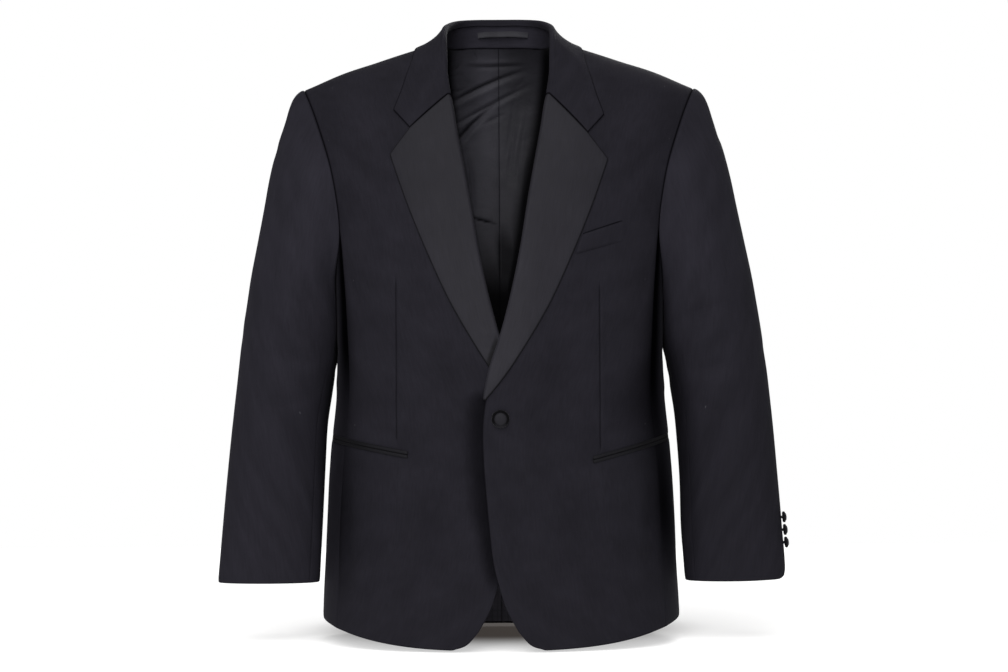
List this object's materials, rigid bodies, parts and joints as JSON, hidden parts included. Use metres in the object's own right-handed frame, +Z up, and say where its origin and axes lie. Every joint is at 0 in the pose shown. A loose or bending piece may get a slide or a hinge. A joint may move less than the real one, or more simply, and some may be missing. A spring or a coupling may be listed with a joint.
{
  "type": "dinner jacket",
  "caption": "Single-breasted dinner jacket with satin notch lapels, one-button front, breast welt and slanted hip pockets, open at neck, hem and cuffs.",
  "frame": {"origin": "midway between the neck ends of the two shoulder seams, where the wearer's shoulders hold the jacket", "axes": "+Z up, front towards -Y, the wearer's left towards +X"},
  "size_m": [0.719, 0.2953, 0.7942],
  "materials": {
    "wool": "black fine wool, matt",
    "satin": "black satin, soft sheen",
    "lining": "black smooth lining, slight sheen",
    "button_cloth": "black cloth drawn over the button"
  },
  "bodies": {
    "root": {"front_left": "wool", "front_right": "wool", "side_left": "wool", "side_right": "wool", "back_left": "wool", "back_right": "wool", "sleeve_top_left": "wool", "sleeve_top_right": "wool", "sleeve_under_left": "wool", "sleeve_under_right": "wool", "collar_leaf": "wool", "collar_stand": "wool", "breast_welt": "wool", "lapel_left": "satin", "lapel_right": "satin", "pocket_jet_upper_left": "satin", "pocket_jet_lower_left": "satin", "pocket_jet_upper_right": "satin", "pocket_jet_lower_right": "satin", "lining_left": "lining", "lining_right": "lining", "hanger_loop": "lining", "front_button": "button_cloth", "cuff_button_left_1": "button_cloth", "cuff_button_left_2": "button_cloth", "cuff_button_left_3": "button_cloth", "cuff_button_right_1": "button_cloth", "cuff_button_right_2": "button_cloth", "cuff_button_right_3": "button_cloth"}
  },
  "joints": []
}
